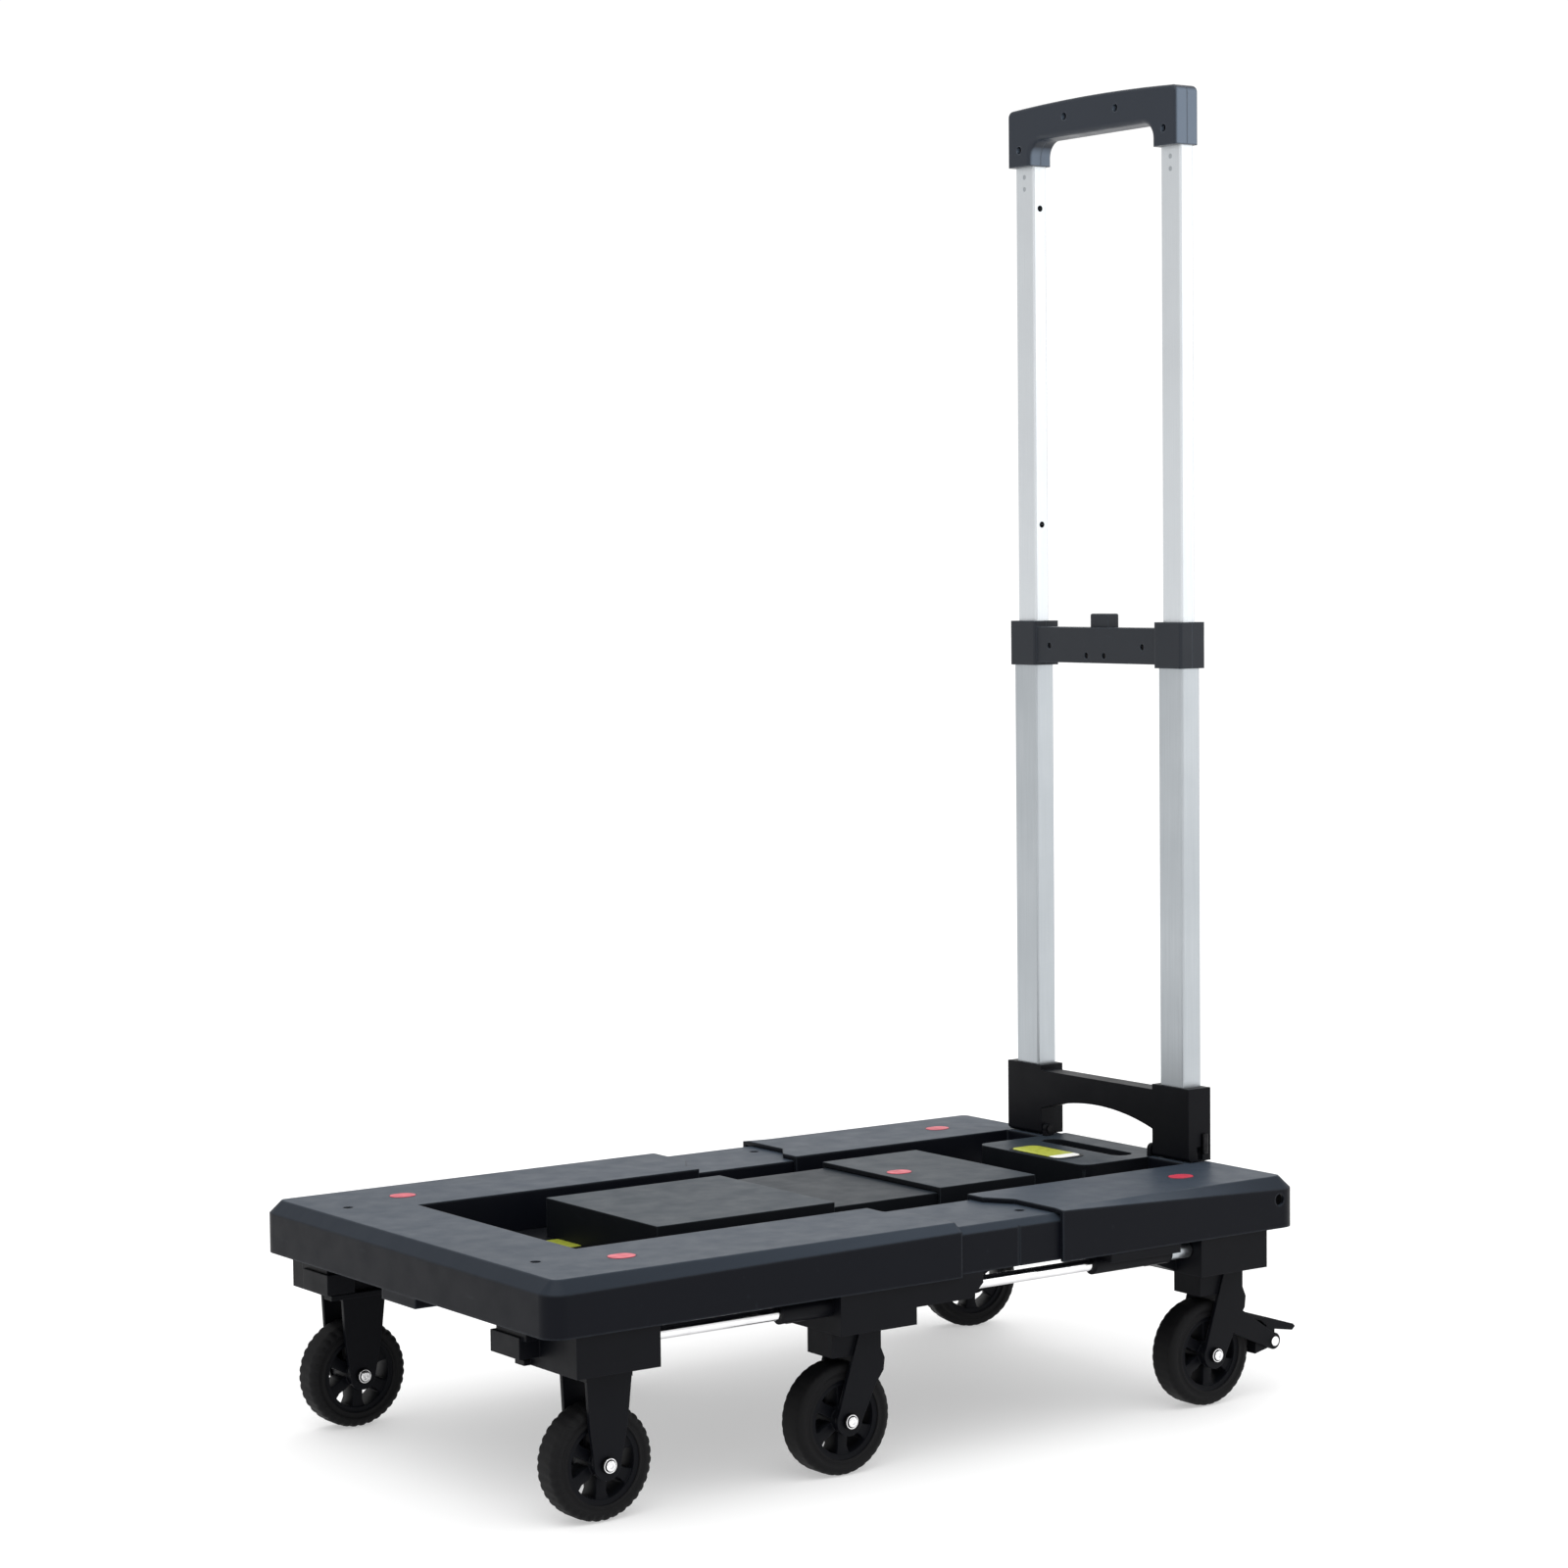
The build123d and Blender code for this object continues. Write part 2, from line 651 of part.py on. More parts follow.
def inner_tube(side):
    """Upper tube with its lock holes and rivet holes."""
    y = side * tube_y
    body = tube(y, inner_tube_bottom, inner_tube_top, inner_width, inner_depth, tube_wall)
    inner_face = side * (tube_y - inner_width / 2)
    y0, y1 = sorted((inner_face - side, inner_face + side * 3))
    for z in lock_hole_heights:
        body -= rod_across(tube_x, y0, y1, z, 2.4)
    face = tube_x - inner_depth / 2
    for z in rivet_heights:
        body -= rod_x(face - 1, face + 3, y, z, 1.8)
    return body


def tube_rivet(side, z):
    """Flush rivet in the front face of an upper tube."""
    face = tube_x - inner_depth / 2
    return rod_x(face + 0.25, face + tube_wall, side * tube_y, z, 1.75)


def bracket():
    """Foot of the handle: two posts joined by an arched bar."""
    x0 = fold_x - 3.7
    x1 = x0 + bracket_depth
    z0 = deck_top + bracket_lift
    body = block(x0, x1, -bracket_half, bracket_half, z0, bracket_top)
    arch = rod_x(x0 - 1, x1 + 1, 0, arch_top - arch_radius, arch_radius)
    body -= arch & block(x0 - 1, x1 + 1, -post_inner, post_inner, z0 - 1, arch_top + 1)
    body -= block(x0 - 1, x1 + 1, -post_inner, post_inner, bracket_top - 4, bracket_top + 1)
    body -= block(x1 - 6, x1 + 1, -post_inner, post_inner, arch_top - 20, bracket_top + 1)
    toe = [(x0 - 1, z0 - 1), (x0 + bracket_toe, z0 - 1), (x0 - 1, z0 + bracket_toe)]
    body -= profile(toe, -bracket_half - 1, bracket_half + 1)
    for side in (1, -1):
        body -= tube_pocket(side * tube_y, outer_tube_bottom, bracket_top + 1, outer_tube_width,
                            outer_tube_depth)
        y0, y1 = sorted((side * (post_inner - 1), side * (post_inner + 5.4)))
        body -= rod_across(fold_x, y0, y1, fold_z, fold_pin_radius + running_gap)
        y0, y1 = sorted((side * (bracket_half - 2.5), side * (bracket_half + 1)))
        body -= block(tube_x - 3, tube_x + 2.5, y0, y1, deck_top + 1.5, deck_top + 11)
    return body


def fold_ear():
    """Small ear beside the bracket's post, on the carry plate."""
    y1 = carry_plate_half_width
    y0 = y1 - ear_thickness
    ear = rod_across(fold_x, y0, y1, fold_z, ear_radius)
    ear += block(fold_x - ear_radius, fold_x + ear_radius, y0, y1, deck_top, fold_z - 1.5)
    return ear - rod_across(fold_x, y0 - 1, y1 + 1, fold_z, fold_pin_radius + running_gap)


def fold_pin():
    """Short hinge pin from the ear into the post."""
    y0 = carry_plate_half_width - ear_thickness
    pin = rod_across(fold_x, y0, post_inner + 5.3, fold_z, fold_pin_radius)
    return pin + rod_across(fold_x, y0 - 0.8, y0, fold_z, 2.8)


def collar_body():
    """Clamp that joins the tops of the lower tubes, before it is split in two."""
    x0 = tube_x - 11.5
    x1 = x0 + collar_depth
    bar_half = tube_y - collar_end_inset + 0.5
    body = block(x0 + 2, x1 - 2, -bar_half, bar_half, collar_bottom + 2.5, collar_top - 4.5)
    for side in (1, -1):
        y0, y1 = sorted((side * (tube_y - collar_end_inset), side * collar_half))
        end = block(x0, x1, y0, y1, collar_bottom, collar_top)
        body += fillet(end.edges().filter_by(Axis.Z), 2.0)
        body -= tube_pocket(side * tube_y, collar_bottom - 1, outer_tube_top, outer_tube_width,
                            outer_tube_depth)
        body -= tube_pocket(side * tube_y, outer_tube_top - 1, collar_top + 1, inner_width, inner_depth)
        for y, z in collar_screw_places:
            body -= rod_x(x0 - 1, x0 + 6, side * y, collar_bottom + z, 2.3)
    pocket_x = button_half_depth + pocket_gap * 3
    pocket_y = button_half_length + pocket_gap * 3
    body -= block(tube_x - pocket_x, tube_x + pocket_x, -pocket_y, pocket_y,
                  button_base - button_stroke - 1, collar_top + 1)
    return body


def screws(places, z0, depth_x, radius):
    """Sunk screw heads in a front face."""
    heads = []
    for y, z in places:
        for side in (1, -1):
            heads.append(rod_x(depth_x + 3.2, depth_x + 5.2, side * y, z0 + z, radius))
    return Compound(children=heads)


def button():
    """Release button on top of the collar."""
    body = block(tube_x - button_half_depth, tube_x + button_half_depth, -button_half_length,
                 button_half_length, button_base, collar_top + button_rise)
    return fillet(body.edges().group_by(Axis.Z)[-1], 1.2)


def grip_body():
    """Top grip with a crowned bar and two legs over the tubes, before it is split in two."""
    x0 = tube_x - grip_front
    x1 = x0 + grip_depth
    leg = tube_y - inner_width / 2 - 3.0
    body = block(x0, x1, -grip_half, grip_half, grip_bottom, handle_height)
    body &= rod_x(x0 - 1, x1 + 1, 0, handle_height - crown_radius, crown_radius)
    ends = [edge for edge in body.edges().filter_by(Axis.X) if edge.center().Z > hand_gap_top]
    body = fillet(ends, grip_corner)
    rims = [edge for edge in body.edges() if edge.center().Z > hand_gap_top and abs(edge.center().Y) < 1]
    body = fillet(rims, grip_edge)
    body -= block(x0 - 1, x1 + 1, -leg, leg, grip_bottom - 1, hand_gap_top)
    inner = [edge for edge in body.edges().filter_by(Axis.X)
             if abs(edge.center().Z - hand_gap_top) < 0.1 and abs(edge.center().Y) < leg + 0.1]
    body = fillet(inner, hand_gap_corner)
    rims = [edge for edge in body.edges() if abs(edge.center().Z - hand_gap_top) < 0.1 and abs(edge.center().Y) < 1]
    body = fillet(rims, hand_gap_edge)
    for side in (1, -1):
        body -= tube_pocket(side * tube_y, grip_bottom - 1, inner_tube_top, inner_width, inner_depth)
        for y, z in grip_screw_places:
            body -= rod_x(x0 - 1, x0 + 5.4, side * y, grip_bottom + z, 2.8)
    return body


def half_of(body, split_x, keep_front):
    """Front or rear half of a two-part housing."""
    x0, x1 = (split_x - 60, split_x) if keep_front else (split_x, split_x + 60)
    return one_solid(body & block(x0, x1, -300, 300, 0, 1500))


# Build

def build_deck(nodes):
    nodes["front_frame"] = front_frame()
    nodes["front_floor"] = floor_plate(front_x + front_bar - wall, front_tail_x - step_depth, front_tile_x0 + tile_wall)
    nodes["front_tile"] = tile_cover(front_tile_x0, front_tile_x1, front_tile_x0)
    nodes["front_blocks"] = both_sides(front_block())
    nodes["front_rods"] = both_sides(rod_x(front_rod_x0, front_rod_x1, rod_y, rod_z, rod_radius))
    nodes["front_markers"] = both_sides(marker(front_x + front_marker_inset, marker_y, -0.15, 0.8, 0.3))
    nodes["middle_frame"] = middle_frame()
    nodes["middle_tile"] = middle_tile()
    nodes["middle_blocks"] = both_sides(middle_block())
    nodes["rod_bushings"] = both_sides(rod_bushing())
    nodes["rear_frame"] = rear_frame()
    nodes["rear_floor"] = floor_plate(rear_floor_x, rear_head_x - step_depth, rear_tile_x1 - tile_wall)
    rear_tile = tile_cover(rear_tile_x0, rear_tile_x1, rear_tile_x1)
    nodes["rear_tile"] = rear_tile - marker(tile_marker_x, 0)
    nodes["carry_plate"] = carry_plate()
    nodes["rear_blocks"] = both_sides(rear_block())
    nodes["rear_rods"] = both_sides(rod_x(rear_rod_x0, rear_rod_x1, rod_y, rod_z, rod_radius))
    nodes["rod_sleeves"] = both_sides(rod_sleeve())
    rear_pair = [marker(rear_x - rear_marker_inset, side * marker_y, -0.15, 0.8, 0.3) for side in (1, -1)]
    nodes["rear_markers"] = Compound(children=rear_pair + [marker(tile_marker_x, 0, -0.15, 0.8, 0.3)])
    nodes["fold_ears"] = both_sides(fold_ear())
    nodes["fold_pins"] = both_sides(fold_pin())


def build_handle(nodes):
    tubes = [tube(side * tube_y, outer_tube_bottom, outer_tube_top, outer_tube_width,
                  outer_tube_depth, tube_wall) for side in (1, -1)]
    nodes["bracket"] = bracket()
    nodes["outer_tubes"] = Compound(children=tubes)
    collar = collar_body()
    nodes["collar_front"] = half_of(collar, tube_x, True)
    nodes["collar_rear"] = half_of(collar, tube_x, False)
    nodes["collar_screws"] = screws(collar_screw_places, collar_bottom, tube_x - 11.5, 2.1)
    nodes["button"] = button()
    nodes["inner_tubes"] = Compound(children=[inner_tube(side) for side in (1, -1)])
    grip = grip_body()
    nodes["grip_front"] = half_of(grip, tube_x - grip_split, True)
    nodes["grip_rear"] = half_of(grip, tube_x - grip_split, False)
    nodes["grip_screws"] = screws(grip_screw_places, grip_bottom, tube_x - grip_front, 2.6)
    rivets = [tube_rivet(side, z) for side in (1, -1) for z in rivet_heights]
    nodes["tube_rivets"] = Compound(children=rivets)


def build_casters(nodes):
    front = Pos(front_axle_x, caster_y, 0)
    nodes["front_forks"] = both_sides(front * fixed_fork())
    nodes["front_axles"] = both_sides(front * Pos(0, 0, wheel_radius) * axle())
    for name, x, y, turn, with_brake in casters:
        place = Pos(x, y, 0) * Rot(0, 0, turn)
        nodes["fork_" + name] = place * swivel_fork(with_brake)
        nodes["axle_" + name] = place * Pos(-caster_trail, 0, wheel_radius) * axle()
        if with_brake:
            nodes["pedal_" + name] = place * brake_pedal()
            nodes["brake_pin_" + name] = place * brake_pin()
    wheels = [(name, x, y, turn, caster_trail) for name, x, y, turn, with_brake in casters]
    wheels += [("front_left", front_axle_x, caster_y, 0, 0), ("front_right", front_axle_x, -caster_y, 0, 0)]
    for name, x, y, turn, trail in wheels:
        nodes["tyre_" + name] = wheel_at(tyre(), x, y, turn, trail)
        nodes["hub_" + name] = wheel_at(hub(), x, y, turn, trail)


def main():
    nodes = {}
    build_deck(nodes)
    build_handle(nodes)
    build_casters(nodes)
    os.makedirs("parts", exist_ok=True)
    for name, shape in nodes.items():
        export_step(shape, "parts/" + name + ".step")
    print(len(nodes), "nodes written")


main()
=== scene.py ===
import bpy, bmesh, json, math
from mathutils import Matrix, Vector


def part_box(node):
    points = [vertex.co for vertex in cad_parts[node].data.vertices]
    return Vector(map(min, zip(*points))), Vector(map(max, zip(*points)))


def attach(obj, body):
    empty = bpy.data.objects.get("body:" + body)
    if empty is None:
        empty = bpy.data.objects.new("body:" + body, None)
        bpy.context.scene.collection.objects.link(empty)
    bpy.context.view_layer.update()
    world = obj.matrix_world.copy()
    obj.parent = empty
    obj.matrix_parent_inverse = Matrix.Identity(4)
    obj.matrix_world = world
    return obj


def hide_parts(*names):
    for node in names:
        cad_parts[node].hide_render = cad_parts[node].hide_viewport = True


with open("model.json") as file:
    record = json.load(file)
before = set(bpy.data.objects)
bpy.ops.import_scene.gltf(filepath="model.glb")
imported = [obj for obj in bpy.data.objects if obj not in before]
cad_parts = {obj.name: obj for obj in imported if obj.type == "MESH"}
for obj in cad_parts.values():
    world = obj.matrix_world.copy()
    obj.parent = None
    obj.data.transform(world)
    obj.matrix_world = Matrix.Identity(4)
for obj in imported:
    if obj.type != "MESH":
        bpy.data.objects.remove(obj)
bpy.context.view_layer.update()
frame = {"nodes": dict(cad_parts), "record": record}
nodes = frame["nodes"]
print("frame loaded:", len(nodes), "nodes")


# ---- small helpers for picking and for finishing a piece

def deselect():
    if bpy.context.object and bpy.context.object.mode != "OBJECT":
        bpy.ops.object.mode_set(mode="OBJECT")
    bpy.ops.object.select_all(action="DESELECT")


def pick(kind, test):  # in edit mode: selects the vertices, edges or faces that pass the test
    bpy.ops.object.mode_set(mode="EDIT")
    bpy.ops.mesh.select_mode(type=kind)
    bpy.ops.mesh.select_all(action="DESELECT")
    mesh = bpy.context.object.data
    bm = bmesh.from_edit_mesh(mesh)
    found = 0
    for item in {"VERT": bm.verts, "EDGE": bm.edges, "FACE": bm.faces}[kind]:
        if test(item):
            item.select_set(True)
            found += 1
    bmesh.update_edit_mesh(mesh)
    return found


def middleOf(item):
    return item.calc_center_median() if hasattr(item, "calc_center_median") else \
        sum((v.co for v in item.verts), Vector()) / len(item.verts)


def tidyMesh():  # in edit mode: doubles merged, faces turned outwards
    bpy.ops.object.mode_set(mode="EDIT")
    bpy.ops.mesh.select_all(action="SELECT")
    bpy.ops.mesh.remove_doubles(threshold=0.00002)
    bpy.ops.mesh.normals_make_consistent(inside=False)
    bpy.ops.object.mode_set(mode="OBJECT")


def easeEdges(width, segments=2, angle=40):  # bevels the sharp edges of the active piece
    piece = bpy.context.object
    ease = piece.modifiers.new("ease", "BEVEL")
    ease.width = width
    ease.segments = segments
    ease.limit_method = "ANGLE"
    ease.angle_limit = math.radians(angle)
    ease.use_clamp_overlap = True
    bpy.ops.object.modifier_apply(modifier="ease")


def finishPiece(name, material, slot, body, *replaced):
    deselect()
    piece = bpy.context.view_layer.objects.active
    piece.select_set(True)
    bpy.ops.object.transform_apply(location=True, rotation=True, scale=True)
    bpy.ops.object.shade_smooth_by_angle(angle=math.radians(35))
    piece.name = name
    piece.data.name = name
    piece.data.materials.clear()
    piece.data.materials.append(material)
    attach(piece, body)
    if replaced:
        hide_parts(*replaced)
    return piece


def copyOf(piece, place, turn=0.0):  # a copy with its own mesh, turned about Z and moved
    deselect()
    twin = piece.copy()
    twin.data = piece.data.copy()
    bpy.context.scene.collection.objects.link(twin)
    twin.select_set(True)
    bpy.context.view_layer.objects.active = twin
    twin.rotation_euler[2] = turn
    twin.location = place
    bpy.ops.object.transform_apply(location=True, rotation=True, scale=True)
    return twin


# ---- materials

def newMaterial(name, roughness, metallic=0.0):
    material = bpy.data.materials.new(name)
    material.use_nodes = True
    tree = material.node_tree
    shader = tree.nodes["Principled BSDF"]
    shader.inputs["Roughness"].default_value = roughness
    shader.inputs["Metallic"].default_value = metallic
    place = tree.nodes.new("ShaderNodeTexCoord").outputs["Object"]
    return material, tree, shader, place


def noiseOf(tree, place, scale, detail=3.0, stretch=None):
    if stretch:
        mapping = tree.nodes.new("ShaderNodeMapping")
        mapping.inputs["Scale"].default_value = stretch
        tree.links.new(place, mapping.inputs["Vector"])
        place = mapping.outputs["Vector"]
    noise = tree.nodes.new("ShaderNodeTexNoise")
    noise.inputs["Scale"].default_value = scale
    noise.inputs["Detail"].default_value = detail
    tree.links.new(place, noise.inputs["Vector"])
    return noise.outputs["Fac"]


def spread(tree, value, fromLow, fromHigh, toLow, toHigh):
    ranger = tree.nodes.new("ShaderNodeMapRange")
    limits = {"From Min": fromLow, "From Max": fromHigh, "To Min": toLow, "To Max": toHigh}
    for socket, number in limits.items():
        ranger.inputs[socket].default_value = number
    tree.links.new(value, ranger.inputs["Value"])
    return ranger.outputs["Result"]


def mixColours(tree, amount, first, second):
    mixer = tree.nodes.new("ShaderNodeMix")
    mixer.data_type = "RGBA"
    tree.links.new(amount, mixer.inputs["Factor"])
    for socket, colour in ((mixer.inputs[6], first), (mixer.inputs[7], second)):
        if isinstance(colour, tuple):
            socket.default_value = (*colour, 1)
        else:
            tree.links.new(colour, socket)
    return mixer.outputs[2]


def bumpOf(tree, height, distance, strength, under=None):
    bump = tree.nodes.new("ShaderNodeBump")
    bump.inputs["Distance"].default_value = distance
    bump.inputs["Strength"].default_value = strength
    tree.links.new(height, bump.inputs["Height"])
    if under:
        tree.links.new(under, bump.inputs["Normal"])
    return bump.outputs["Normal"]


def edgeWearAndHighlight(tree, radius, low, high):  # 0 on flat faces, up to 1 along sharp edges: the mask for edge wear and for a painted edge highlight
    soft = tree.nodes.new("ShaderNodeBevel")
    soft.samples = 4
    soft.inputs["Radius"].default_value = radius
    flat = tree.nodes.new("ShaderNodeNewGeometry")
    dot = tree.nodes.new("ShaderNodeVectorMath")
    dot.operation = "DOT_PRODUCT"
    tree.links.new(soft.outputs["Normal"], dot.inputs[0])
    tree.links.new(flat.outputs["True Normal"], dot.inputs[1])
    return spread(tree, dot.outputs["Value"], high, low, 0.0, 1.0), soft.outputs["Normal"]


# each finish's top is a paler copy of its colour for upward faces: painted light from above
plasticFinishes = {
    "deckShell": dict(colour=(0.0042, 0.0050, 0.0080), top=(0.038, 0.051, 0.070), wornAndHighlit=(0.030, 0.036, 0.045),
                      roughness=(0.36, 0.46), gloss=0.08, grain=1500, depth=0.00006, round=0.0022),
    "deckTile": dict(colour=(0.0060, 0.0070, 0.0090), top=(0.028, 0.038, 0.049),
                     wornAndHighlit=(0.040, 0.048, 0.056),
                     roughness=(0.38, 0.48), gloss=0.08, grain=1400, depth=0.00007, round=0.0012),
    "middleTop": dict(colour=(0.0055, 0.0065, 0.0083), top=(0.020, 0.026, 0.033),
                      wornAndHighlit=(0.032, 0.038, 0.045),
                      roughness=(0.40, 0.50), gloss=0.08, grain=1400, depth=0.00007, round=0.0012),
    "blackPlastic": dict(colour=(0.0034, 0.0038, 0.0056), top=(0.0060, 0.0068, 0.0088),
                         wornAndHighlit=(0.007, 0.008, 0.011),
                         roughness=(0.38, 0.50), gloss=0.09, grain=1700, depth=0.00004, round=0.0011),
    "handlePlastic": dict(colour=(0.0130, 0.0165, 0.0230), top=(0.026, 0.031, 0.040),
                          wornAndHighlit=(0.045, 0.055, 0.070),
                          roughness=(0.34, 0.46), gloss=0.26, grain=1700, depth=0.00004, round=0.0014),
    "gripPlastic": dict(colour=(0.0190, 0.0245, 0.0350), top=(0.034, 0.042, 0.055),
                        side=(0.130, 0.165, 0.215), wornAndHighlit=(0.060, 0.074, 0.095),
                        roughness=(0.34, 0.46), gloss=0.26, grain=1700, depth=0.00004,
                        round=0.0016),
}


def makePlastic(name, finish):
    material, tree, shader, place = newMaterial(name, 0.45)
    shader.inputs["Specular IOR Level"].default_value = finish["gloss"]
    wearAndHighlight, soft = edgeWearAndHighlight(tree, finish["round"], 0.80, 0.995)
    split = tree.nodes.new("ShaderNodeSeparateXYZ")  # upper faces are painted paler than the walls: painted light from above
    tree.links.new(soft, split.inputs["Vector"])
    paintedTopLightMask = spread(tree, split.outputs["Z"], 0.55, 0.98, 0.0, 1.0)
    patches = spread(tree, noiseOf(tree, place, 5, 2), 0.3, 0.7, 0.0, 1.0)
    scuffs = noiseOf(tree, place, 240, 5, (1.0, 0.12, 0.5))
    walls = mixColours(tree, patches, finish["colour"], tuple(c * 0.88 for c in finish["colour"]))
    paintedLitTops = mixColours(tree, patches, finish["top"], tuple(c * 0.90 for c in finish["top"]))
    base = mixColours(tree, paintedTopLightMask, walls, paintedLitTops)
    if "side" in finish:  # faces turned along ±Y, the grip's ends, are made paler
        outward = tree.nodes.new("ShaderNodeMath")
        outward.operation = "ABSOLUTE"
        tree.links.new(split.outputs["Y"], outward.inputs[0])
        base = mixColours(tree, spread(tree, outward.outputs[0], 0.75, 0.98, 0.0, 1.0), base, finish["side"])
    scratched = mixColours(tree, spread(tree, scuffs, 0.68, 0.82, 0.0, 0.22), base, finish["wornAndHighlit"])
    # along sharp edges the worn colour is edge wear and a painted edge highlight; on the scuffs it is wear
    tree.links.new(mixColours(tree, wearAndHighlight, scratched, finish["wornAndHighlit"]), shader.inputs["Base Color"])
    low, high = finish["roughness"]
    tree.links.new(spread(tree, noiseOf(tree, place, 60, 5), 0.3, 0.7, low, high), shader.inputs["Roughness"])
    grain = noiseOf(tree, place, finish["grain"], 2)
    tree.links.new(bumpOf(tree, grain, finish["depth"], 0.45, soft), shader.inputs["Normal"])
    return material


plastics = {name: makePlastic(name, finish) for name, finish in plasticFinishes.items()}


tubeFinishes = {  # satin extruded tube: the outer pair is a darker copy of the inner pair's aluminium, a painted shade
    "outerAluminium": dict(colour=(0.485, 0.515, 0.540), shade=(0.43, 0.46, 0.485), line=(0.37, 0.40, 0.42)),
    "innerAluminium": dict(colour=(0.73, 0.765, 0.79), shade=(0.69, 0.72, 0.745), line=(0.60, 0.63, 0.66)),
}


def makeAluminium(name, finish):  # fine lines along its length
    material, tree, shader, place = newMaterial(name, 0.34, 1.0)
    lines = noiseOf(tree, place, 1.0, 3, (2600, 2600, 14))
    haze = noiseOf(tree, place, 14, 3)
    shade = mixColours(tree, spread(tree, haze, 0.3, 0.7, 0.0, 1.0), finish["colour"], finish["shade"])
    tree.links.new(mixColours(tree, spread(tree, lines, 0.35, 0.7, 0.0, 0.35), shade, finish["line"]),
                   shader.inputs["Base Color"])
    tree.links.new(spread(tree, lines, 0.3, 0.7, 0.30, 0.42), shader.inputs["Roughness"])
    tree.links.new(bumpOf(tree, lines, 0.00003, 0.35), shader.inputs["Normal"])
    return material


def makeChrome():  # plated steel with faint turning lines
    material, tree, shader, place = newMaterial("platedSteel", 0.12, 1.0)
    lines = noiseOf(tree, place, 1.0, 2, (1800, 60, 60))
    haze = noiseOf(tree, place, 90, 4)
    dulled = spread(tree, haze, 0.45, 0.75, 0.0, 0.5)
    tree.links.new(mixColours(tree, dulled, (0.90, 0.90, 0.91), (0.70, 0.70, 0.71)),
                   shader.inputs["Base Color"])
    tree.links.new(spread(tree, haze, 0.3, 0.7, 0.08, 0.22), shader.inputs["Roughness"])
    tree.links.new(bumpOf(tree, lines, 0.00002, 0.2), shader.inputs["Normal"])
    return material


def makeRubber():
    material, tree, shader, place = newMaterial("tyreRubber", 0.62)
    shader.inputs["Specular IOR Level"].default_value = 0.12
    dust = noiseOf(tree, place, 45, 6)
    wearAndHighlight, soft = edgeWearAndHighlight(tree, 0.0009, 0.80, 0.99)
    dusty = spread(tree, dust, 0.4, 0.75, 0.0, 0.6)
    base = mixColours(tree, dusty, (0.0042, 0.0042, 0.0048), (0.010, 0.010, 0.0105))
    # sharp rubber edges get a paler colour: edge wear and a painted edge highlight
    tree.links.new(mixColours(tree, wearAndHighlight, base, (0.013, 0.013, 0.014)), shader.inputs["Base Color"])
    tree.links.new(spread(tree, dust, 0.3, 0.7, 0.50, 0.72), shader.inputs["Roughness"])
    tree.links.new(bumpOf(tree, noiseOf(tree, place, 1100, 3), 0.00008, 0.5, soft), shader.inputs["Normal"])
    return material


def makePaint(name, colour, patch, edge):  # one colour, with another beyond a line across it
    material, tree, shader, place = newMaterial(name, 0.42)
    cloud = noiseOf(tree, place, 300, 4)
    split = tree.nodes.new("ShaderNodeSeparateXYZ")
    tree.links.new(place, split.inputs["Vector"])
    body = mixColours(tree, spread(tree, cloud, 0.35, 0.7, 0.0, 1.0), colour, tuple(c * 0.72 for c in colour))
    beyond = spread(tree, split.outputs["Y"], edge, edge - 0.0006, 0.0, 1.0)
    tree.links.new(mixColours(tree, beyond, body, patch), shader.inputs["Base Color"])
    tree.links.new(spread(tree, cloud, 0.3, 0.7, 0.36, 0.52), shader.inputs["Roughness"])
    tree.links.new(bumpOf(tree, cloud, 0.00003, 0.3), shader.inputs["Normal"])
    return material


def makeMarker():  # red inlay, a little uneven
    material, tree, shader, place = newMaterial("redInlay", 0.38)
    cloud = noiseOf(tree, place, 160, 3)
    uneven = spread(tree, cloud, 0.35, 0.7, 0.0, 1.0)
    tree.links.new(mixColours(tree, uneven, (0.62, 0.045, 0.085), (0.44, 0.035, 0.065)),
                   shader.inputs["Base Color"])
    tree.links.new(spread(tree, cloud, 0.3, 0.7, 0.30, 0.46), shader.inputs["Roughness"])
    tree.links.new(bumpOf(tree, noiseOf(tree, place, 900, 2), 0.00004, 0.4), shader.inputs["Normal"])
    return material


def makeScrew():
    material, tree, shader, place = newMaterial("blackenedSteel", 0.4, 0.9)
    haze = noiseOf(tree, place, 400, 4)
    rubbed = spread(tree, haze, 0.4, 0.7, 0.0, 1.0)
    tree.links.new(mixColours(tree, rubbed, (0.008, 0.008, 0.009), (0.022, 0.022, 0.024)),
                   shader.inputs["Base Color"])
    tree.links.new(spread(tree, haze, 0.3, 0.7, 0.30, 0.50), shader.inputs["Roughness"])
    tree.links.new(bumpOf(tree, haze, 0.00003, 0.4), shader.inputs["Normal"])
    return material


tubes = {name: makeAluminium(name, finish) for name, finish in tubeFinishes.items()}
chrome, rubber = makeChrome(), makeRubber()
inlay, darkSteel = makeMarker(), makeScrew()
slotMaterials = {
    "deck_shell": plastics["deckShell"], "deck_tile": plastics["deckTile"],
    "black_plastic": plastics["blackPlastic"], "handle_plastic": plastics["handlePlastic"],
    "aluminium": tubes["innerAluminium"], "chrome": chrome, "tyre": rubber,
    "marker": inlay, "screw": darkSteel,
}
special = {"middle_tile": plastics["middleTop"], "outer_tubes": tubes["outerAluminium"],
           "tube_rivets": tubes["outerAluminium"],
           "grip_front": plastics["gripPlastic"], "grip_rear": plastics["gripPlastic"]}
for part in frame["record"]["subparts"]:
    node = nodes[part["node"]]
    node.data.materials.clear()
    node.data.materials.append(special.get(part["node"], slotMaterials[part["material_slot"]]))
print("materials on", len(nodes), "nodes")


# ---- camera, floor and lights

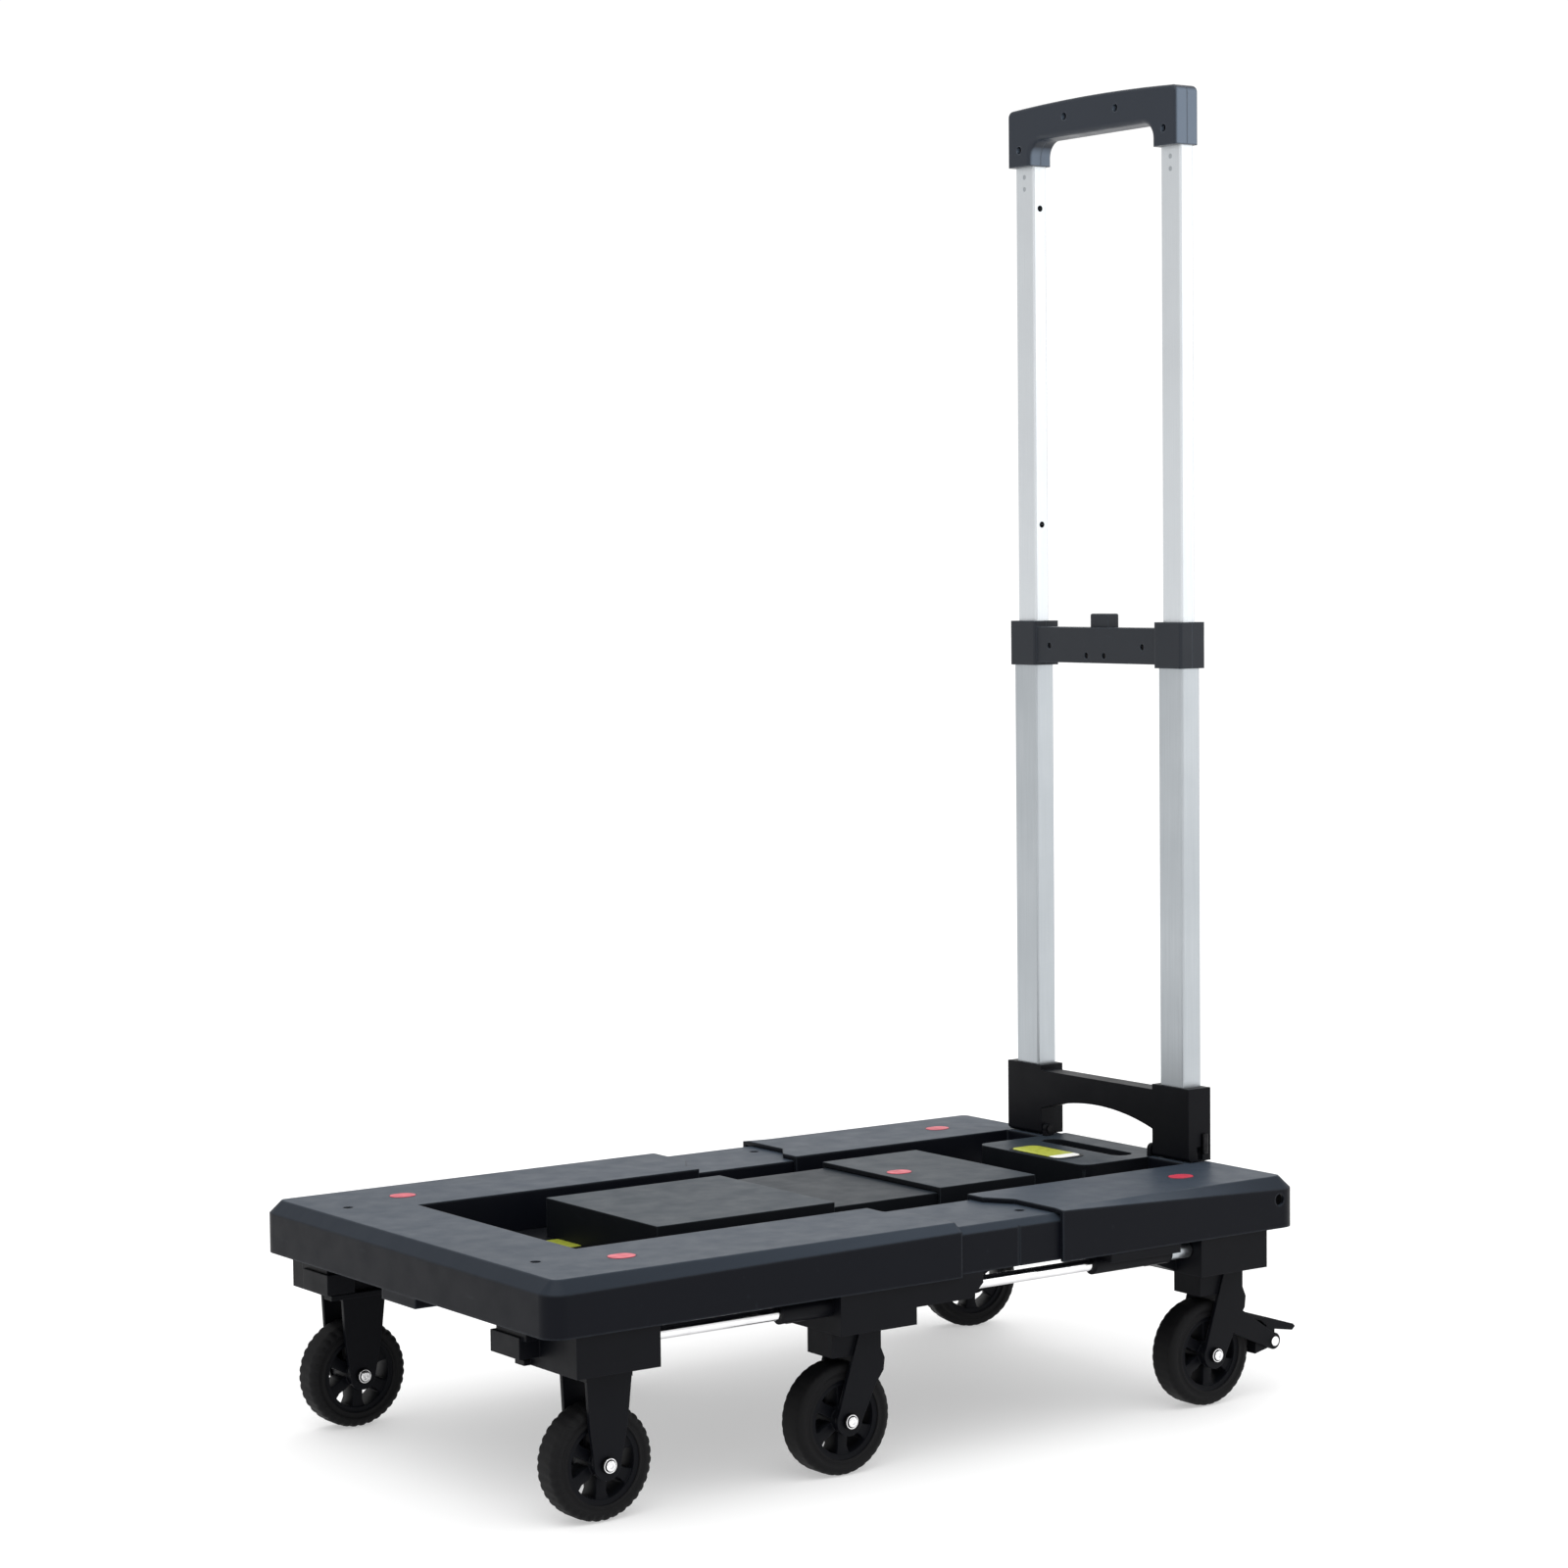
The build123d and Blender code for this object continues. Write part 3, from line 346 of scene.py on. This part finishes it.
cameraPlace = dict(location=(-1.46336, -2.05177, 0.59877), rotation=(86.5032, 0.6030, -35.4384), lens=82.706)
bpy.ops.object.camera_add(location=cameraPlace["location"],
                          rotation=[math.radians(angle) for angle in cameraPlace["rotation"]])
camera = bpy.context.object
camera.data.lens = cameraPlace["lens"]
camera.data.sensor_width = 36
camera.data.clip_end = 60
bpy.context.scene.camera = camera

# the floor glows a little, so that shadows on it stay faint
floorSettings = dict(size=40, drop=0.0003, colour=(0.60, 0.60, 0.60), roughness=0.7, glow=0.42)
bpy.ops.mesh.primitive_plane_add(size=floorSettings["size"], location=(0, 0, -floorSettings["drop"]))
floor = bpy.context.object
floor.name = "studioFloor"
paleFloor, _, floorShader, _ = newMaterial("paleFloor", floorSettings["roughness"])
floorShader.inputs["Base Color"].default_value = (*floorSettings["colour"], 1)
floorShader.inputs["Specular IOR Level"].default_value = 0.1
floorShader.inputs["Emission Color"].default_value = (1, 1, 1, 1)
floorShader.inputs["Emission Strength"].default_value = floorSettings["glow"]
floor.data.materials.append(paleFloor)

studioLights = {
    "keyPanel": dict(location=(-1.2, -0.6, 2.6), target=(0, 0, 0.2), size=2.6, power=16),
    "backPanel": dict(location=(1.8, 1.6, 2.2), target=(0, 0, 0.3), size=2.2, power=14),
    "sidePanel": dict(location=(2.4, -1.8, 1.2), target=(0.1, 0, 0.3), size=1.8, power=9),
}
for name, light in studioLights.items():
    bpy.ops.object.light_add(type="AREA", location=light["location"])
    lamp = bpy.context.object
    lamp.name = name
    lamp.data.shape = "SQUARE"
    lamp.data.size = light["size"]
    lamp.data.energy = light["power"]
    aim = Vector(light["target"]) - Vector(light["location"])
    lamp.rotation_euler = aim.to_track_quat("-Z", "Y").to_euler()

overheadSettings = dict(tilt=(14, -10, 0), energy=1.1, spread=70)  # a wide, soft light from above
bpy.ops.object.light_add(type="SUN", rotation=[math.radians(angle) for angle in overheadSettings["tilt"]])
bpy.context.object.name = "overheadSoft"
bpy.context.object.data.energy = overheadSettings["energy"]
bpy.context.object.data.angle = math.radians(overheadSettings["spread"])

# seen is how bright the backdrop looks; one side lights less, so that metal keeps its shading
skySettings = dict(seen=1.05, lighting=0.86, dim=0.70, dimSide=(-0.62, 0.78, 0.0))
world = bpy.data.worlds.new("studioSky")
bpy.context.scene.world = world
world.use_nodes = True
skyTree = world.node_tree
sky = skyTree.nodes["Background"]
sky.inputs["Color"].default_value = (1, 1, 1, 1)
toward = skyTree.nodes.new("ShaderNodeVectorMath")
toward.operation = "DOT_PRODUCT"
toward.inputs[1].default_value = skySettings["dimSide"]
skyTree.links.new(skyTree.nodes.new("ShaderNodeTexCoord").outputs["Generated"], toward.inputs[0])
lit = spread(skyTree, toward.outputs["Value"], 0.45, 0.9, skySettings["lighting"], skySettings["dim"])
seen = skyTree.nodes.new("ShaderNodeMix")
seen.inputs["B"].default_value = skySettings["seen"]
skyTree.links.new(skyTree.nodes.new("ShaderNodeLightPath").outputs["Is Camera Ray"], seen.inputs["Factor"])
skyTree.links.new(lit, seen.inputs["A"])
skyTree.links.new(seen.outputs["Result"], sky.inputs["Strength"])
bpy.context.scene.view_settings.view_transform = "Standard"
print("camera, floor and lights ready")


# ---- tyres: a ring spun from its section, with shallow lumps towards the shoulders

tyreSettings = {
    "front": dict(outer=0.0375, inner=0.0268, width=0.0225, round=0.0050, steps=108, lump=0.0007),
    "swivel": dict(outer=0.0375, inner=0.0268, width=0.0225, round=0.0046, steps=108, lump=0.0003),
}


def makeTyre(settings):
    deselect()
    tall = settings["outer"] - settings["inner"]
    bpy.ops.mesh.primitive_plane_add(size=1, location=(0, 0, (settings["outer"] + settings["inner"]) / 2),
                                     rotation=(0, math.radians(90), 0))
    bpy.context.object.scale = (tall, settings["width"], 1)
    bpy.ops.object.transform_apply(location=True, rotation=True, scale=True)
    top = settings["outer"] - 0.0001
    pick("EDGE", lambda e: all(v.co.z > top for v in e.verts))
    bpy.ops.mesh.subdivide(number_cuts=3)
    pick("VERT", lambda v: v.co.z > top and abs(v.co.y) > settings["width"] / 2 - 0.0001)
    bpy.ops.mesh.bevel(offset=settings["round"], segments=5, affect="VERTICES")
    pick("FACE", lambda f: True)
    bpy.ops.mesh.delete(type="ONLY_FACE")
    bpy.ops.mesh.select_all(action="SELECT")
    bpy.ops.mesh.spin(steps=settings["steps"], angle=math.radians(360), center=(0, 0, 0), axis=(0, 1, 0))
    tidyMesh()
    step = math.radians(360) / settings["steps"]

    def isGroove(vertex):  # every third row across the tread, staggered between the two shoulders
        far = math.hypot(vertex.co.x, vertex.co.z)
        if far < settings["outer"] - settings["round"] * 0.9 or abs(vertex.co.y) < 0.002:
            return False
        index = int(round((math.atan2(vertex.co.x, vertex.co.z) % math.radians(360)) / step))
        return index % 3 == (1 if vertex.co.y > 0 else 0)

    pick("VERT", isGroove)
    bpy.ops.transform.shrink_fatten(value=-settings["lump"])
    sidewall = settings["outer"] - settings["round"]

    def isSidewall(face):
        centre = middleOf(face)
        return abs(face.normal.y) > 0.9 and math.hypot(centre.x, centre.z) < sidewall

    pick("FACE", isSidewall)
    bpy.ops.mesh.inset(thickness=0.0012, depth=0.0)
    bpy.ops.mesh.inset(thickness=0.0009, depth=-0.0007)
    tidyMesh()
    easeEdges(0.0004, 2, 35)
    return bpy.context.object


# ---- hubs: a deep rim, a boss and waisted spokes

hubSettings = dict(rim=0.0269, rimWall=0.0036, width=0.0205, boss=0.0088, bossWidth=0.0250,
                   spokes=6, spokeWide=0.0062, spokeDeep=0.0150, steps=72)


def makeHub():
    deselect()
    bpy.ops.mesh.primitive_plane_add(size=1, location=(0, 0, hubSettings["rim"] - hubSettings["rimWall"] / 2),
                                     rotation=(0, math.radians(90), 0))
    bpy.context.object.scale = (hubSettings["rimWall"], hubSettings["width"], 1)
    bpy.ops.object.transform_apply(location=True, rotation=True, scale=True)
    rim = bpy.context.object
    pick("FACE", lambda f: True)
    bpy.ops.mesh.delete(type="ONLY_FACE")
    bpy.ops.mesh.select_all(action="SELECT")
    bpy.ops.mesh.spin(steps=hubSettings["steps"], angle=math.radians(360), center=(0, 0, 0), axis=(0, 1, 0))
    tidyMesh()
    pick("FACE", lambda f: abs(f.normal.y) > 0.9)
    bpy.ops.mesh.inset(thickness=0.0007, depth=-0.0006)
    tidyMesh()
    easeEdges(0.0003, 2, 35)
    parts = [rim]

    deselect()  # boss: a stepped barrel with a bored end
    bpy.ops.mesh.primitive_cylinder_add(vertices=40, radius=hubSettings["boss"],
                                        depth=hubSettings["bossWidth"], rotation=(math.radians(90), 0, 0))
    bpy.ops.object.transform_apply(location=True, rotation=True, scale=True)
    pick("FACE", lambda f: abs(f.normal.y) > 0.9)
    bpy.ops.mesh.inset(thickness=0.0014, depth=0.0008)
    bpy.ops.mesh.inset(thickness=0.0024, depth=-0.0016)
    tidyMesh()
    easeEdges(0.0003, 2, 35)
    parts.append(bpy.context.object)

    reach = hubSettings["rim"] - hubSettings["rimWall"] + 0.0004
    deselect()  # one spoke: waisted, thicker where it meets the rim
    root = hubSettings["boss"] - 0.001
    bpy.ops.mesh.primitive_cube_add(size=1, location=(0, 0, (reach + root) / 2))
    bpy.context.object.scale = (hubSettings["spokeWide"], hubSettings["spokeDeep"], reach - root)
    bpy.ops.object.transform_apply(location=True, rotation=True, scale=True)
    pick("FACE", lambda f: f.normal.z > 0.9)
    bpy.ops.transform.resize(value=(1.7, 1.15, 1))
    pick("EDGE", lambda e: abs(e.verts[0].co.z - e.verts[1].co.z) > 0.005)
    bpy.ops.mesh.subdivide(number_cuts=2)
    pick("VERT", lambda v: abs(v.co.z - reach * 0.78) < 0.004 and v.co.z < reach - 0.001)
    bpy.ops.transform.resize(value=(0.8, 0.92, 1))
    tidyMesh()
    easeEdges(0.0004, 2, 35)
    spoke = bpy.context.object
    parts.append(spoke)
    for index in range(1, hubSettings["spokes"]):
        deselect()
        twin = spoke.copy()
        twin.data = spoke.data.copy()
        bpy.context.scene.collection.objects.link(twin)
        twin.rotation_euler[1] = math.radians(360) * index / hubSettings["spokes"]
        parts.append(twin)
    deselect()
    for part in parts:
        part.select_set(True)
    bpy.context.view_layer.objects.active = rim
    bpy.ops.object.join()
    bpy.ops.object.transform_apply(location=True, rotation=True, scale=True)
    return rim


casterTurns = {"front_left": 0, "front_right": 0, "middle_left": 45, "middle_right": 0,
               "rear_left": 165, "rear_right": 0}
frontTyre = makeTyre(tyreSettings["front"])
swivelTyre = makeTyre(tyreSettings["swivel"])
plainHub = makeHub()
for wheel, turn in casterTurns.items():
    low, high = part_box("tyre_" + wheel)
    centre = (low + high) / 2
    for pattern, part, material, slot in (
            (frontTyre if wheel.startswith("front") else swivelTyre, "tyre", rubber, "tyre"),
            (plainHub, "hub", plastics["blackPlastic"], "black_plastic")):
        copyOf(pattern, centre, math.radians(turn))
        finishPiece("visual_" + part + "_" + wheel, material, slot, "wheel_" + wheel, part + "_" + wheel)
for pattern in (frontTyre, swivelTyre, plainHub):
    bpy.data.objects.remove(pattern)
print("wheels made")


# ---- small parts: labels, bolts, latches and nubs

def makePad(size, corner, lip, rise):  # a flat pad with round corners and a raised or sunk middle
    deselect()
    bpy.ops.mesh.primitive_cube_add(size=1, location=(0, 0, size[2] / 2))
    bpy.context.object.scale = size
    bpy.ops.object.transform_apply(location=True, rotation=True, scale=True)
    pick("EDGE", lambda e: abs(e.verts[0].co.z - e.verts[1].co.z) > size[2] * 0.9)
    bpy.ops.mesh.bevel(offset=corner, segments=5, affect="EDGES")
    pick("FACE", lambda f: f.normal.z > 0.9)
    bpy.ops.mesh.inset(thickness=lip, depth=rise)
    tidyMesh()
    easeEdges(min(size[2] * 0.3, 0.0004), 2, 40)
    return bpy.context.object


def makeBolt(radius, tall, ringRadius):  # a stepped head with a round sunk socket, in a thin ring
    deselect()
    bpy.ops.mesh.primitive_cylinder_add(vertices=36, radius=radius, depth=tall, location=(0, 0, tall / 2))
    pick("FACE", lambda f: f.normal.z > 0.9)
    bpy.ops.mesh.inset(thickness=radius * 0.18, depth=tall * 0.25)
    bpy.ops.mesh.inset(thickness=radius * 0.32, depth=0.0)
    bpy.ops.mesh.inset(thickness=radius * 0.02, depth=-tall * 0.8)
    tidyMesh()
    easeEdges(radius * 0.05, 2, 30)
    head = bpy.context.object
    deselect()
    bpy.ops.mesh.primitive_torus_add(major_radius=ringRadius, minor_radius=ringRadius * 0.09,
                                     major_segments=40, minor_segments=10, location=(0, 0, ringRadius * 0.05))
    pick("VERT", lambda v: v.co.z < 0)
    bpy.ops.transform.resize(value=(1, 1, 0.2))
    bpy.ops.object.mode_set(mode="OBJECT")
    ring = bpy.context.object
    deselect()
    head.select_set(True)
    ring.select_set(True)
    bpy.context.view_layer.objects.active = head
    bpy.ops.object.join()
    bpy.ops.transform.rotate(value=math.radians(-90), orient_axis="X", center_override=(0, 0, 0))
    bpy.ops.object.transform_apply(location=True, rotation=True, scale=True)
    return head


def moveInMesh(piece, place, turn=0.0, axis="Z"):  # turns about the origin, then moves, then applies
    deselect()
    piece.select_set(True)
    bpy.context.view_layer.objects.active = piece
    if turn:
        bpy.ops.transform.rotate(value=turn, orient_axis=axis, center_override=(0, 0, 0))
    piece.location = piece.location + Vector(place)
    bpy.ops.object.transform_apply(location=True, rotation=True, scale=True)
    return piece


boltSettings = dict(radius=0.0034, tall=0.0014, ring=0.0044, out=0.0186)
boltPattern = makeBolt(boltSettings["radius"], boltSettings["tall"], boltSettings["ring"])
for wheel, turn in casterTurns.items():  # a bolt head on both ends of each axle
    low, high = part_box("tyre_" + wheel)
    centre = (low + high) / 2
    front = wheel.startswith("front")
    body = "front" if front else "caster_" + wheel
    for side in (1, -1):
        angle = math.radians(turn) + (0 if side == 1 else math.pi)
        out = Vector((math.sin(angle), -math.cos(angle), 0)) * boltSettings["out"]
        copyOf(boltPattern, centre + out, angle)
        finishPiece("visual_bolt_" + wheel + ("_a" if side == 1 else "_b"), chrome, "chrome", body)
bpy.data.objects.remove(boltPattern)

labelYellow = makePaint("labelYellow", (0.46, 0.50, 0.045), (0.86, 0.86, 0.84), -0.018)
labelGreen = makePaint("labelGreen", (0.36, 0.40, 0.040), (0.03, 0.03, 0.035), -0.9)
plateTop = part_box("carry_plate")[1].z
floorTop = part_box("front_floor")[1].z
labelSink, labelLift = 0.0002, 0.0004  # how far a frame sits in its panel, and a label above its frame
labels = {
    "rear": dict(size=(0.024, 0.056, 0.0006), corner=0.006, place=(0.2300, 0.0, plateTop - labelSink),
                 paint=labelYellow, body="rear"),
    "front": dict(size=(0.022, 0.031, 0.0006), corner=0.003, place=(-0.1678, 0.0405, floorTop - labelSink),
                  paint=labelGreen, body="front"),
}
for name, label in labels.items():
    wide = (label["size"][0] + 0.005, label["size"][1] + 0.006, label["size"][2])
    moveInMesh(makePad(wide, label["corner"] + 0.002, 0.0012, -0.0001), label["place"])
    finishPiece("visual_label_frame_" + name, plastics["blackPlastic"], "black_plastic", label["body"])
    face = makePad(label["size"], label["corner"], 0.0008, 0.0001)
    moveInMesh(face, Vector(label["place"]) + Vector((0, 0, labelLift)))
    finishPiece("visual_label_" + name, label["paint"], "marker", label["body"])

# snap latches low on the posts: their size, and how far in, along and up from the bracket's corner
latchSettings = dict(size=(0.0050, 0.0150, 0.0022), corner=0.0012, inset=0.0004, along=0.0150, up=0.0125)
bracketLow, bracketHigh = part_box("bracket")
for side in (1, -1):
    latch = makePad(latchSettings["size"], latchSettings["corner"], 0.0008, 0.0003)
    moveInMesh(latch, (0, 0, 0), math.radians(90 * side), "X")
    moveInMesh(latch, (bracketLow.x + latchSettings["along"], (bracketHigh.y - latchSettings["inset"]) * side,
                       bracketLow.z + latchSettings["up"]))
    finishPiece("visual_latch_" + ("left" if side == 1 else "right"), darkSteel, "screw", "handle")

# stepped caps behind the rod sleeves
nubSettings = dict(length=0.019, radius=0.0056, neck=0.0040, gap=0.0005)


def makeNub(settings):
    deselect()
    bpy.ops.mesh.primitive_cylinder_add(vertices=32, radius=settings["radius"], depth=settings["length"])
    pick("FACE", lambda f: f.normal.z > 0.9)
    bpy.ops.mesh.inset(thickness=settings["radius"] * 0.2, depth=0.0)
    bpy.ops.mesh.extrude_region_move(TRANSFORM_OT_translate={"value": (0, 0, settings["length"] * 0.25)})
    bpy.ops.mesh.inset(thickness=settings["neck"] * 0.35, depth=-settings["length"] * 0.08)
    tidyMesh()
    easeEdges(0.0005, 2, 40)
    return moveInMesh(bpy.context.object, (0, 0, 0), math.radians(90), "Y")


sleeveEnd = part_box("rod_sleeves")[1].x
rodLow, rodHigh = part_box("rear_rods")
rodZ = (rodLow.z + rodHigh.z) / 2
rodY = rodHigh.y - (rodHigh.z - rodLow.z) / 2
for side in (1, -1):
    end = "left" if side == 1 else "right"
    nub = makeNub(nubSettings)
    moveInMesh(nub, (sleeveEnd + nubSettings["length"] / 2 + nubSettings["gap"], rodY * side, rodZ))
    finishPiece("visual_rod_cap_" + end, tubes["outerAluminium"], "aluminium", "rear")
print("small parts made")
